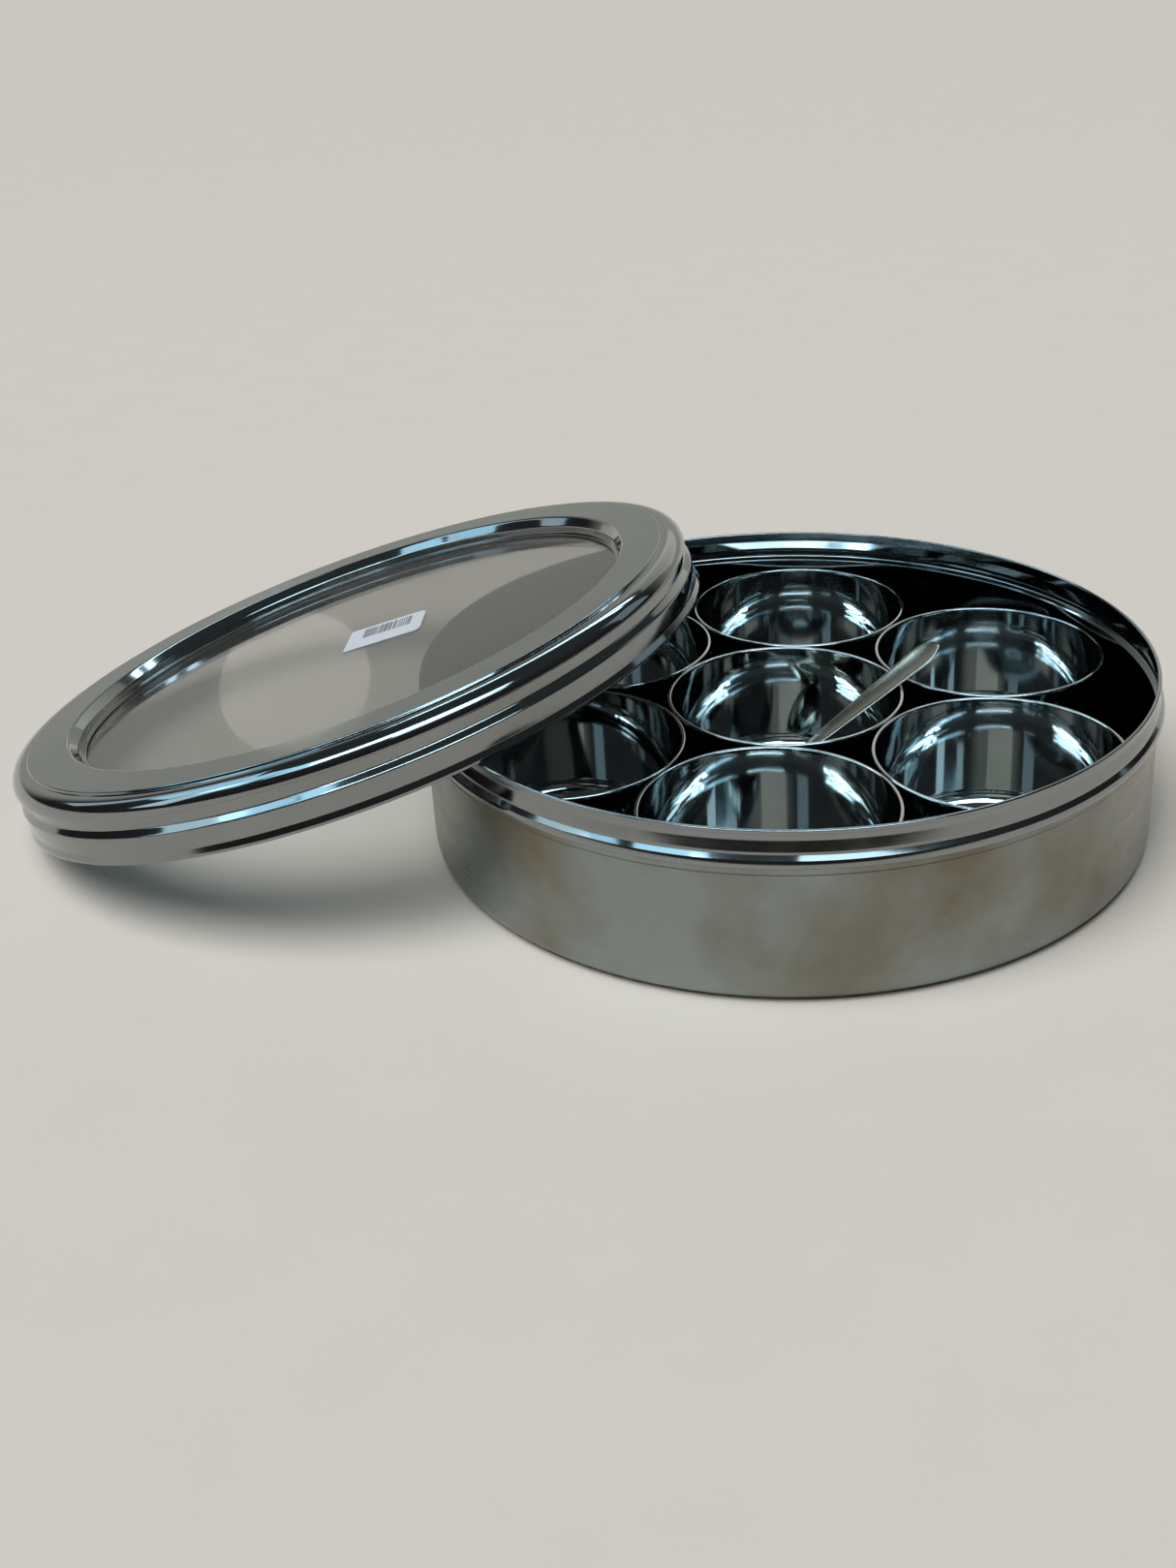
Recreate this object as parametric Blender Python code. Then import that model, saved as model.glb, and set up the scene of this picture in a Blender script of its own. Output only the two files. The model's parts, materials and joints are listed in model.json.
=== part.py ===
"""Round steel spice box: a drum holding seven cups and a spoon, its lid leaning on the rim.

Blender script, metres, +Z up.  The drum stands on z = 0 with its axis on the world Z axis.
The lid rests on the table with one side of its skirt and on the drum's rim with two points
of the skirt edge.  Every pressed piece is a turned profile: a mid-line with a thickness.
"""
import bpy
import numpy as np
from mathutils import Matrix, Vector

MM = 0.001                       # every dimension below is in millimetres

# Sheet and clearances
SHEET = 0.5                      # steel sheet of the drum, the cups and the lid
GAP = 0.3                        # space between two pieces that rest on each other

# Drum
DRUM_HEIGHT = 53.0
DRUM_WALL_RADIUS = 114.8
DRUM_NECK_RADIUS = 114.4
DRUM_RIM_RADIUS = 115.0
DRUM_RIM_DEPTH = 1.4             # height of the thickened top edge
DRUM_STOP_RADIUS = 116.6         # crest of the bead that stops the lid
DRUM_STOP_HEIGHT = 43.6
DRUM_STOP_HALF = 1.6
DRUM_SHELF_HEIGHT = 46.4         # where the neck starts to flare out to the bead
DRUM_CORNER = 4.0
DRUM_SEGMENTS = 48

# Cups
CUP_RADIUS = 37.7                # over the lip
CUP_TOP = 38.8                   # height of the lip above the table
CUP_LIP = 1.2
CUP_LIP_DEPTH = 0.9
CUP_WALL_TOP = 36.75             # mid-line radius under the lip
CUP_WALL_FOOT = 36.2             # mid-line radius above the corner
CUP_CORNER = 6.0
CUP_RING = 75.8                  # circle on which the outer cups stand
CUP_TURN = -4.3                  # turn of the whole hexagon, degrees
CUP_SEGMENTS = 26
CUP_BEARINGS = {"n": 90.0, "ne": 30.0, "se": -30.0, "s": -90.0, "sw": -150.0, "nw": 150.0}

# Lid, measured from the plane of the skirt's lower edge
LID_HEM_RADIUS = 118.2
LID_HEM_HEIGHT = 1.4
LID_LOWER_RADIUS = 117.6
LID_SHOULDER_FOOT = 8.5
LID_SHOULDER_TOP = 9.7
LID_UPPER_RADIUS = 115.9
LID_BEAD_RADIUS = 117.4
LID_BEAD_HEIGHT = 16.2
LID_BEAD_HALF = 2.0
LID_STEP_RADIUS = 111.0
LID_LEDGE_HEIGHT = 18.4
LID_HEIGHT = 20.2
LID_RECESS_RADIUS = 97.4         # outer edge of the rounded lip around the window
LID_THROAT_RADIUS = 94.8
LID_SEAT_HEIGHT = 14.8           # top of the inner edge that covers the window's rim
LID_SEAT_RADIUS = 93.4
LID_SEGMENTS = 48

# How the lid leans
LEAN_BEARING = 169.85            # direction of the lid's centre seen from the drum, degrees
LEAN_ANGLE = 15.95

# Window and its label
PANE_THICKNESS = 2.0
LABEL_SIZE = (27.5, 21.5)
LABEL_CENTRE = (9.7, 7.1)
LABEL_TURN = 4.6
LABEL_THICKNESS = 0.2
LABEL_GAP = 0.1

# Spoon: top of the floor end, and the point where the handle lies over the cup's lip
SPOON_FOOT = (-22.1, -17.05, 2.3)
SPOON_REST = (35.66, 7.77, 40.4)
SPOON_LENGTH = 91.0
SPOON_THICKNESS = 0.8
SCOOP_CENTRE = 13.0
SCOOP_HALF_LENGTH = 13.6
SCOOP_HALF_WIDTH = 10.5
SCOOP_DEPTH = 4.6
HANDLE_NECK = 1.7                # half width beside the scoop
HANDLE_WIDE = 4.6                # half width near the rounded tip
HANDLE_ROUND = 7.0               # length of the rounded tip
SPOON_STEPS = 30
SPOON_STRIPS = 6

FINISHES = {
    "satin_steel": ((0.47, 0.45, 0.41), 1.0, 0.34, 1.0),
    "polished_steel": ((0.62, 0.63, 0.64), 1.0, 0.12, 1.0),
    "clear_plastic": ((0.85, 0.86, 0.84), 0.0, 0.08, 0.35),
    "label_paper": ((0.82, 0.86, 0.93), 0.0, 0.7, 1.0),
}


def clear_objects():
    """Empty the file of the objects it starts with."""
    for item in list(bpy.data.objects):
        bpy.data.objects.remove(item, do_unlink=True)


def make_finish(name):
    """Return the named material, a Principled BSDF."""
    colour, metallic, roughness, alpha = FINISHES[name]
    material = bpy.data.materials.get(name) or bpy.data.materials.new(name)
    material.use_nodes = True
    shader = material.node_tree.nodes["Principled BSDF"]
    shader.inputs["Base Color"].default_value = (*colour, 1.0)
    shader.inputs["Metallic"].default_value = metallic
    shader.inputs["Roughness"].default_value = roughness
    shader.inputs["Alpha"].default_value = alpha
    material.diffuse_color = (*colour, alpha)
    return material


def arc(centre, radius, start, end, steps):
    """Points of a circular arc in the (radius, height) plane; angles in degrees."""
    angles = np.radians(np.linspace(start, end, steps + 1))
    return np.stack([centre[0] + radius * np.cos(angles),
                     centre[1] + radius * np.sin(angles)], axis=1)


def mid_line(*pieces):
    """Join points and arcs into one mid-line, an array of (radius, height)."""
    return np.concatenate([np.atleast_2d(np.asarray(piece, dtype=float)) for piece in pieces])


def both_sides(path, thickness):
    """Offset a mid-line to both sides, keeping the sheet's thickness round its corners."""
    steps = np.diff(path, axis=0)
    normals = np.stack([-steps[:, 1], steps[:, 0]], axis=1)
    normals /= np.linalg.norm(normals, axis=1, keepdims=True)
    before = np.concatenate([normals[:1], normals])
    after = np.concatenate([normals, normals[-1:]])
    bisector = before + after
    bisector /= np.linalg.norm(bisector, axis=1, keepdims=True)
    mitre = 1.0 / np.maximum((bisector * before).sum(axis=1), 0.5)
    offset = bisector * (mitre * thickness / 2.0)[:, None]
    return path + offset, path - offset


def signed_volume(points, faces):
    """Six times the volume enclosed by quads and triangles, for checking which way they face."""
    total = 0.0
    for face in faces:
        a = points[face[0]]
        for second, third in zip(face[1:-1], face[2:]):
            total += float(np.dot(a, np.cross(points[second], points[third])))
    return total


def add_object(name, points, faces, origin, finish):
    """Make one closed mesh object; points are world millimetres, origin is its own origin."""
    if signed_volume(points, faces) < 0.0:
        faces = [face[::-1] for face in faces]
    place = np.asarray(origin, dtype=float)
    mesh = bpy.data.meshes.new(name)
    mesh.from_pydata(((points - place) * MM).tolist(), [], faces)
    mesh.materials.append(make_finish(finish))
    mesh.update()
    item = bpy.data.objects.new(name, mesh)
    item.location = Vector(place * MM)
    bpy.context.scene.collection.objects.link(item)
    return item


def turned_surface(outline, segments):
    """Turn a closed outline about the axis.  Points with no radius become single poles."""
    points = []
    rows = []
    turn = np.linspace(0.0, 2.0 * np.pi, segments, endpoint=False)
    for radius, height in outline:
        if radius < 1e-6:
            rows.append([len(points)] * segments)
            points.append((0.0, 0.0, height))
            continue
        rows.append(list(range(len(points), len(points) + segments)))
        points += zip(radius * np.cos(turn), radius * np.sin(turn), [height] * segments)
    faces = []
    for row, following in zip(rows, rows[1:] + rows[:1]):
        for index in range(segments):
            onward = (index + 1) % segments
            corners = (row[index], row[onward], following[onward], following[index])
            unique = list(dict.fromkeys(corners))
            if len(unique) > 2:
                faces.append(unique)
    return np.array(points), faces


def turned_sheet(path, thickness, segments):
    """Surface of a pressed sheet: its mid-line and thickness turned about the axis."""
    left, right = both_sides(path, np.broadcast_to(thickness, len(path)))
    return turned_surface(np.concatenate([left, right[::-1]]), segments)


def drum_profile():
    """Mid-line and thickness of the drum, from the middle of its floor up to the rim."""
    half = SHEET / 2.0
    wall = DRUM_WALL_RADIUS - half
    neck = DRUM_NECK_RADIUS - half
    corner = (wall - DRUM_CORNER, half + DRUM_CORNER)
    crest = DRUM_STOP_RADIUS - half
    foot = DRUM_STOP_HEIGHT - DRUM_STOP_HALF
    head = DRUM_STOP_HEIGHT + DRUM_STOP_HALF
    rim = (DRUM_RIM_RADIUS + neck - half) / 2.0
    rim_foot = DRUM_HEIGHT - DRUM_RIM_DEPTH
    body = mid_line((0.0, half), arc(corner, DRUM_CORNER, -90.0, 0.0, 3),
                    (wall, foot), (crest - 0.3, DRUM_STOP_HEIGHT - 0.8), (crest, DRUM_STOP_HEIGHT),
                    (crest - 0.3, DRUM_STOP_HEIGHT + 0.8), (wall + 0.2, head),
                    (neck, DRUM_SHELF_HEIGHT), (neck, rim_foot - 0.4))
    top = mid_line((rim, rim_foot), (rim, DRUM_HEIGHT))
    width = DRUM_RIM_RADIUS - (neck - half)
    thickness = np.concatenate([np.full(len(body), SHEET), np.full(len(top), width)])
    return np.concatenate([body, top]), thickness


def cup_profile():
    """Mid-line and thickness of a cup, from the middle of its floor up to the lip."""
    floor = SHEET + GAP + SHEET / 2.0
    corner = (CUP_WALL_FOOT - CUP_CORNER, floor + CUP_CORNER)
    lip = CUP_RADIUS - CUP_LIP / 2.0
    body = mid_line((0.0, floor), arc(corner, CUP_CORNER, -90.0, 0.0, 3),
                    (CUP_WALL_TOP, CUP_TOP - CUP_LIP_DEPTH - 0.3))
    top = mid_line((lip, CUP_TOP - CUP_LIP_DEPTH), (lip, CUP_TOP))
    thickness = np.concatenate([np.full(len(body), SHEET), np.full(len(top), CUP_LIP)])
    return np.concatenate([body, top]), thickness


def lid_profile():
    """Mid-line and thickness of the lid, from the hem of the skirt to the window's channel."""
    half = SHEET / 2.0
    lower = LID_LOWER_RADIUS - half
    upper = LID_UPPER_RADIUS - half
    bead = LID_BEAD_RADIUS - half
    hem = (LID_HEM_RADIUS + lower - half) / 2.0
    hem_width = LID_HEM_RADIUS - (lower - half)
    ledge = LID_LEDGE_HEIGHT - half
    top = LID_HEIGHT - half
    throat = LID_THROAT_RADIUS + half
    seat = LID_SEAT_HEIGHT - half
    lip_radius = LID_RECESS_RADIUS - LID_THROAT_RADIUS - half
    lip_centre = (throat + lip_radius, top - lip_radius)
    edge = mid_line((hem, 0.0), (hem, LID_HEM_HEIGHT))
    body = mid_line((lower, LID_HEM_HEIGHT + 0.3), (lower, LID_SHOULDER_FOOT),
                    (upper, LID_SHOULDER_TOP), (upper, LID_BEAD_HEIGHT - LID_BEAD_HALF),
                    (bead - 0.4, LID_BEAD_HEIGHT - 0.9), (bead, LID_BEAD_HEIGHT),
                    (bead - 0.4, LID_BEAD_HEIGHT + 0.9), (upper - 0.6, ledge),
                    (LID_STEP_RADIUS, ledge), (LID_STEP_RADIUS - 0.4, top),
                    arc(lip_centre, lip_radius, 90.0, 180.0, 3), (throat, seat),
                    (LID_SEAT_RADIUS, seat))
    thickness = np.concatenate([np.full(len(edge), hem_width), np.full(len(body), SHEET)])
    return np.concatenate([edge, body]), thickness


def pane_levels():
    """Top and underside of the window in the lid's own frame."""
    top = LID_SEAT_HEIGHT - SHEET - GAP
    return top, top - PANE_THICKNESS


def clip_profile():
    """Mid-line of the lid's inner fold that holds the window from below."""
    half = SHEET / 2.0
    _, underside = pane_levels()
    outer = LID_THROAT_RADIUS + half
    return mid_line((outer, LID_SEAT_HEIGHT - half), (outer, underside - GAP - half),
                    (LID_SEAT_RADIUS, underside - GAP - half))


def lid_outline():
    """Closed outline of the lid: pressed top, skirt and the channel folded round the window.

    The channel is the lid's sheet turned back under the window, so the section is one
    outline: down the skirt's outer side, up its inner side and round the channel.
    """
    path, thickness = lid_profile()
    under, top = both_sides(path, thickness)
    fold_under, fold_top = both_sides(clip_profile(), np.full(3, SHEET))
    corner = np.array([[LID_THROAT_RADIUS, under[-1, 1]]])
    return np.concatenate([top, under[-1:], corner, fold_top[1:], fold_under[:0:-1],
                           under[-3::-1]])


def lean():
    """Placement of the lid: its skirt touches the table once and the drum's rim twice.

    The plane of the skirt edge rises from the table at the lean angle.  Where it reaches the
    rim's height it cuts the lid's edge in a chord; the lid's distance from the drum is the
    one that lays the ends of this chord on the circle of the rim.
    """
    angle = np.radians(LEAN_ANGLE)
    edge = LID_HEM_RADIUS - (LID_HEM_RADIUS - LID_LOWER_RADIUS + SHEET) / 2.0
    rim = DRUM_RIM_RADIUS - (DRUM_RIM_RADIUS - DRUM_NECK_RADIUS + SHEET) / 2.0
    climb = (DRUM_HEIGHT + GAP) / np.sin(angle)
    along = climb - LID_HEM_RADIUS
    chord = np.sqrt(edge ** 2 - along ** 2)
    distance = np.sqrt(rim ** 2 - chord ** 2) + along * np.cos(angle)
    bearing = np.radians(LEAN_BEARING)
    away = Vector((np.cos(bearing), np.sin(bearing), 0.0))
    centre = away * distance + Vector((0.0, 0.0, LID_HEM_RADIUS * np.sin(angle) + GAP))
    axis = Vector((0.0, 0.0, 1.0)).cross(away)
    return Matrix.Translation(centre) @ Matrix.Rotation(angle, 4, axis)


def placed(points, matrix):
    """Points moved by a placement matrix."""
    turn = np.array(matrix.to_3x3())
    return points @ turn.T + np.array(matrix.translation)


def build_drum():
    """The drum with floor, wall, stop bead, neck and thickened rim."""
    path, thickness = drum_profile()
    points, faces = turned_sheet(path, thickness, DRUM_SEGMENTS)
    add_object("box_body", points, faces, (0.0, 0.0, 0.0), "satin_steel")


def build_cups():
    """One cup in the middle and six round it."""
    path, thickness = cup_profile()
    points, faces = turned_sheet(path, thickness, CUP_SEGMENTS)
    add_object("bowl_centre", points, faces, (0.0, 0.0, 0.0), "polished_steel")
    for name, bearing in CUP_BEARINGS.items():
        angle = np.radians(bearing + CUP_TURN)
        centre = np.array([np.cos(angle), np.sin(angle), 0.0]) * CUP_RING
        add_object(f"bowl_{name}", points + centre, faces, centre, "polished_steel")


def build_lid(matrix):
    """The lid's steel ring, the clear window and the label stuck on it."""
    origin = np.array(matrix.translation)
    points, faces = turned_surface(lid_outline(), LID_SEGMENTS)
    add_object("lid_ring", placed(points, matrix), faces, origin, "polished_steel")
    top, underside = pane_levels()
    radius = LID_THROAT_RADIUS - GAP
    outline = [(0.0, top), (radius, top), (radius, underside), (0.0, underside)]
    points, faces = turned_surface(outline, LID_SEGMENTS)
    add_object("window_pane", placed(points, matrix), faces, origin, "clear_plastic")
    build_label(matrix, origin, top + LABEL_GAP)


def build_label(matrix, origin, level):
    """The paper label, a thin plate lying on the window."""
    half = np.array(LABEL_SIZE) / 2.0
    corners = np.array([(-1, -1), (1, -1), (1, 1), (-1, 1)]) * half
    angle = np.radians(LABEL_TURN)
    turn = np.array([(np.cos(angle), -np.sin(angle)), (np.sin(angle), np.cos(angle))])
    flat = corners @ turn.T + np.array(LABEL_CENTRE)
    low = np.column_stack([flat, np.full(4, level)])
    high = np.column_stack([flat, np.full(4, level + LABEL_THICKNESS)])
    faces = [[3, 2, 1, 0], [4, 5, 6, 7]]
    faces += [[i, (i + 1) % 4, (i + 1) % 4 + 4, i + 4] for i in range(4)]
    points = np.concatenate([low, high])
    add_object("price_label", placed(points, matrix), faces, origin, "label_paper")


def spoon_half_width(along):
    """Half width of the spoon: an ellipse for the scoop, then a handle widening to its tip."""
    reach = (along - SCOOP_CENTRE) / SCOOP_HALF_LENGTH
    scoop = SCOOP_HALF_WIDTH * np.sqrt(np.clip(1.0 - reach ** 2, 0.0, None))
    start = 2.0 * SCOOP_CENTRE
    share = np.clip((along - start) / (SPOON_LENGTH - HANDLE_ROUND - start), 0.0, 1.0)
    tip = np.clip((along - SPOON_LENGTH + HANDLE_ROUND) / (HANDLE_ROUND + 0.6), 0.0, 1.0)
    handle = (HANDLE_NECK + (HANDLE_WIDE - HANDLE_NECK) * share) * np.sqrt(1.0 - tip ** 2)
    return np.maximum(scoop, np.where(along > SCOOP_CENTRE, handle, 0.0))


def spoon_surface():
    """Grid of the spoon's middle surface in its own frame: length, width, height."""
    along = SPOON_LENGTH * np.linspace(0.0, 1.0, SPOON_STEPS + 1)
    across = np.linspace(-1.0, 1.0, SPOON_STRIPS + 1)
    length, share = np.meshgrid(along, across, indexing="ij")
    reach = (length - SCOOP_CENTRE) / SCOOP_HALF_LENGTH
    dish = np.clip(1.0 - reach ** 2, 0.0, None) * (1.0 - share ** 2)
    return np.stack([length, share * spoon_half_width(length), -SCOOP_DEPTH * dish], axis=-1)


def spoon_frame():
    """Placement of the spoon: along its length, across it, and up out of its face."""
    foot = np.array(SPOON_FOOT)
    along = np.array(SPOON_REST) - foot
    along /= np.linalg.norm(along)
    across = np.cross((0.0, 0.0, 1.0), along)
    across /= np.linalg.norm(across)
    return foot, np.array([along, across, np.cross(along, across)])


def build_spoon():
    """The spoon, pressed from one sheet, leaning from the cup's floor over its lip."""
    middle = spoon_surface()
    rise = np.array([0.0, 0.0, SPOON_THICKNESS / 2.0])
    rows, columns = middle.shape[:2]
    count = rows * columns
    foot, axes = spoon_frame()
    flat = np.concatenate([(middle + rise).reshape(-1, 3), (middle - rise).reshape(-1, 3)])
    points = flat @ axes + foot
    index = np.arange(count).reshape(rows, columns)
    quads = np.stack([index[:-1, :-1], index[1:, :-1], index[1:, 1:], index[:-1, 1:]], axis=-1)
    faces = quads.reshape(-1, 4).tolist()
    faces += (quads.reshape(-1, 4)[:, ::-1] + count).tolist()
    border = np.concatenate([index[0, :-1], index[:-1, -1], index[-1, :0:-1], index[:0:-1, 0]])
    onward = np.roll(border, -1)
    faces += np.stack([border, onward, onward + count, border + count], axis=-1).tolist()
    add_object("spoon", points, faces, foot, "polished_steel")


def main():
    """Build every piece in place."""
    clear_objects()
    build_drum()
    build_cups()
    build_lid(lean())
    build_spoon()


main()
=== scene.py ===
"""Looks of the round steel spice box: spun steel drum, bowls, lid with a window, and spoon.

Every pressed piece is a fine surface of revolution that stands in for the plain solid of the
same name.  Sizes are in millimetres, as a sheet-metal drawing gives them; meshes are in metres.
"""
import json
import logging
from dataclasses import dataclass, field
from enum import Enum
from typing import Sequence

import bpy
import numpy as np
from mathutils import Matrix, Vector
from numpy.typing import NDArray

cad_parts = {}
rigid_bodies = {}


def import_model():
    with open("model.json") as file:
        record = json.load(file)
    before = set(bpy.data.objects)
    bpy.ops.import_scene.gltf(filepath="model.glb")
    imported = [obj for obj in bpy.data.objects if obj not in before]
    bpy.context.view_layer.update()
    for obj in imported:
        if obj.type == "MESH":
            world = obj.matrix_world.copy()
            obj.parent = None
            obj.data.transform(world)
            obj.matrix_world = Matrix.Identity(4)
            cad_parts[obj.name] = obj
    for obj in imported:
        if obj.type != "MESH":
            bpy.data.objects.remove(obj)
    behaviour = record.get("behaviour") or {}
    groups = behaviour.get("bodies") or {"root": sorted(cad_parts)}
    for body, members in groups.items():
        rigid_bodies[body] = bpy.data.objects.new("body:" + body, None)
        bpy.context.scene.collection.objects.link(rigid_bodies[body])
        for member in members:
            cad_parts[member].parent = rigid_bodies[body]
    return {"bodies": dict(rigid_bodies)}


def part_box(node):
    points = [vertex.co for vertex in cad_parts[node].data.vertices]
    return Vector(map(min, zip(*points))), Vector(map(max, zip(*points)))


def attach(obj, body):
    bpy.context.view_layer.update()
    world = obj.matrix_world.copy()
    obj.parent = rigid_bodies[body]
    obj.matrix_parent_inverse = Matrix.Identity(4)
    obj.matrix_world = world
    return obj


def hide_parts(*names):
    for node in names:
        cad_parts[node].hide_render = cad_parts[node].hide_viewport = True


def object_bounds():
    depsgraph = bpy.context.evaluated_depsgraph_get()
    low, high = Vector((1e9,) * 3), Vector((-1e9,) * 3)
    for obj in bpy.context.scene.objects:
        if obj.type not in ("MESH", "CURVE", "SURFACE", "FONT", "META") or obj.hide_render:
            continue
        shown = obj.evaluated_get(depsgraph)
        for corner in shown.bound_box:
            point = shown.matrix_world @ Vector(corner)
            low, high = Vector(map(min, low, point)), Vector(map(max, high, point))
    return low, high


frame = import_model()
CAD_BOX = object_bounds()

Array = NDArray[np.float64]
Index = NDArray[np.int64]
Colour = tuple[float, float, float]
Socket = bpy.types.NodeSocket
log = logging.getLogger("spice_box")

MM = 0.001
SHEET = 0.5                # thickness of every steel sheet, mm
BRACE = 0.25               # distance of the rings that keep a flat flat beside an arc, mm
LONG_SPAN = 6.0 * BRACE    # a span longer than this gets such rings, mm
COINCIDENT = 1e-4          # points of an outline nearer than this are one, mm
SHARP_ANGLE = 50.0         # an edge that turns by more than this stays sharp, degrees
LAMP_DISTANCE = 1.6        # from the box to a lamp that is placed by its bearing, metres


class Slot(Enum):
    """Material slots of the record."""

    SATIN = "satin_steel"
    POLISHED = "polished_steel"
    CLEAR = "clear_plastic"
    PAPER = "label_paper"


class LampShape(Enum):
    """Outlines of a lamp's glowing face."""

    PANEL = "RECTANGLE"
    DISC = "ELLIPSE"


# ---------------------------------------------------------------- shapes


@dataclass(frozen=True)
class Placement:
    """Where a piece that was drawn in its own frame stands: a turn, then a shift in mm."""

    turn: Array = field(default_factory=lambda: np.eye(3))
    shift: Array = field(default_factory=lambda: np.zeros(3))

    def metres(self, points: Array) -> Array:
        """Return points given in the piece's own millimetres as world metres."""
        return (points @ self.turn.T + self.shift) * MM


@dataclass(frozen=True)
class Surface:
    """A closed surface: points in mm, quads, triangles, and the UV of each face corner."""

    points: Array
    quads: Index
    triangles: Index
    quad_uv: Array
    triangle_uv: Array
    marks: Index | None = None         # finish number of each face, quads first; None for all 0


def rounded(corners: Array, steps: int = 6) -> Array:
    """Round the corners of an outline with arcs.

    A corner with unit directions d in and e out turns by an angle a.  Its arc of radius r
    starts r tan(a / 2) before the corner, and after an angle b it has gone r sin b along d
    and r (1 - cos b) to the side of the turn.

    Args:
        corners: rows of radius, height and fillet radius, in mm; the two ends stay sharp.
        steps: spans of each arc.

    Returns:
        Rows of radius and height.
    """
    place, fillet = corners[:, :2], corners[:, 2]
    run = np.diff(place, axis=0)
    run /= np.linalg.norm(run, axis=1, keepdims=True)
    inward, onward = run[:-1], run[1:]
    crossing = inward[:, 0] * onward[:, 1] - inward[:, 1] * onward[:, 0]
    turn = np.arctan2(crossing, (inward * onward).sum(axis=1))
    radius = fillet[1:-1]
    start = place[1:-1] - inward * (radius * np.tan(np.abs(turn) / 2.0))[:, None]
    side = np.stack([-inward[:, 1], inward[:, 0]], axis=1) * np.sign(turn)[:, None]
    angle = np.abs(turn)[:, None] * np.linspace(0.0, 1.0, steps + 1)
    along = (radius[:, None] * np.sin(angle))[..., None] * inward[:, None]
    across = (radius[:, None] * (1.0 - np.cos(angle)))[..., None] * side[:, None]
    arcs = (start[:, None] + along + across).reshape(-1, 2)
    outline = np.concatenate([place[:1], arcs, place[-1:]])
    apart = np.linalg.norm(np.diff(outline, axis=0), axis=1) > COINCIDENT
    return outline[np.concatenate([[True], apart])]


def braced(outline: Array) -> Array:
    """Add a point close to each end of every long span, so that smooth shading keeps it straight.

    Args:
        outline: rows of radius and height in mm.

    Returns:
        The outline with the extra points at BRACE from the ends of spans over LONG_SPAN.
    """
    start, end = outline[:-1], outline[1:]
    length = np.linalg.norm(end - start, axis=1)
    is_long = length > LONG_SPAN
    share = np.where(is_long, BRACE / np.maximum(length, 1e-9), 0.5)[:, None]
    near, far = start + (end - start) * share, end - (end - start) * share
    stacked = np.stack([start, near, far], axis=1)
    keep = np.stack([np.ones_like(is_long), is_long, is_long], axis=1)
    return np.concatenate([stacked[keep], outline[-1:]])


def skin(rows: int, columns: int, poles: bool) -> tuple[Index, Index]:
    """Number the faces over a grid of points whose rows are closed rings.

    Quad (i, j) joins the points j and j + 1 of the rings i and i + 1.  Two poles follow the
    grid's points: triangles join the first to ring 0 and the second to the last ring.
    Without poles the last ring meets the first.

    Args:
        rows: number of rings.
        columns: points of each ring.
        poles: whether the ends close in poles.

    Returns:
        The quads and the triangles.
    """
    index = np.arange(rows * columns).reshape(rows, columns)
    beside = np.roll(index, -1, axis=1)
    if not poles:
        onward = [np.roll(ring, -1, axis=0) for ring in (beside, index)]
        return np.stack([index, beside, *onward], axis=-1).reshape(-1, 4), np.zeros((0, 3), int)
    quads = np.stack([index[:-1], beside[:-1], beside[1:], index[1:]], axis=-1).reshape(-1, 4)
    first, last = np.full(columns, index.size), np.full(columns, index.size + 1)
    return quads, np.concatenate([np.stack([first, beside[0], index[0]], axis=-1),
                                  np.stack([last, index[-1], beside[-1]], axis=-1)])


def revolve(outline: Array, segments: int, marks: Index | None = None) -> Surface:
    """Turn an outline about the upright axis.

    P(s, t) = (r(s) cos t, r(s) sin t, h(s)).  U is t as a share of the full turn and V is the
    length s along the outline in metres.  An outline that starts and ends on the axis closes
    in two poles; any other outline is a loop whose last row meets the first.  The outline runs
    out along the underside, up the outer side and back along the inner side, so that the faces
    point outwards.

    Args:
        outline: rows of radius and height in mm.
        segments: spans of the full turn.
        marks: finish number of the span after each row; None for all 0.

    Returns:
        The closed surface.
    """
    on_axis = bool(outline[0, 0] < 1e-6)
    rings = outline[1:-1] if on_axis else outline
    turn = np.linspace(0.0, 2.0 * np.pi, segments, endpoint=False)
    grid = np.stack([np.outer(rings[:, 0], np.cos(turn)), np.outer(rings[:, 0], np.sin(turn)),
                     np.repeat(rings[:, 1:], segments, axis=1)], axis=-1)
    rows = len(rings)
    quads, fans = skin(rows, segments, on_axis)
    path = outline if on_axis else np.concatenate([outline, outline[:1]])
    step = np.linalg.norm(np.diff(path, axis=0), axis=1)
    length = np.concatenate([[0.0], np.cumsum(step)]) * MM
    v = length[1:-1] if on_axis else length
    u = np.linspace(0.0, 1.0, segments + 1)
    square = np.stack([
        np.broadcast_to(pair, (len(v) - 1, segments)) for pair in (
            u[:-1], v[:-1, None], u[1:], v[:-1, None], u[1:], v[1:, None], u[:-1], v[1:, None])
    ], axis=-1).reshape(-1, 4, 2)
    span_mark = np.zeros(len(outline), dtype=int) if marks is None else marks
    if not on_axis:
        return Surface(grid.reshape(-1, 3), quads, fans, square, np.zeros((0, 3, 2)),
                       np.repeat(span_mark, segments))
    poles = np.array([[0.0, 0.0, outline[0, 1]], [0.0, 0.0, outline[-1, 1]]])
    middle = (u[:-1] + u[1:]) / 2.0
    start, after, before, end = (np.full(segments, length[i]) for i in (0, 1, -2, -1))
    fan_uv = np.concatenate([
        np.stack([middle, start, u[1:], after, u[:-1], after], axis=-1),
        np.stack([middle, end, u[:-1], before, u[1:], before], axis=-1)]).reshape(-1, 3, 2)
    face_mark = np.repeat(np.concatenate([span_mark[1:rows], span_mark[[0, rows]]]), segments)
    return Surface(np.concatenate([grid.reshape(-1, 3), poles]), quads, fans, square, fan_uv,
                   face_mark)


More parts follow.
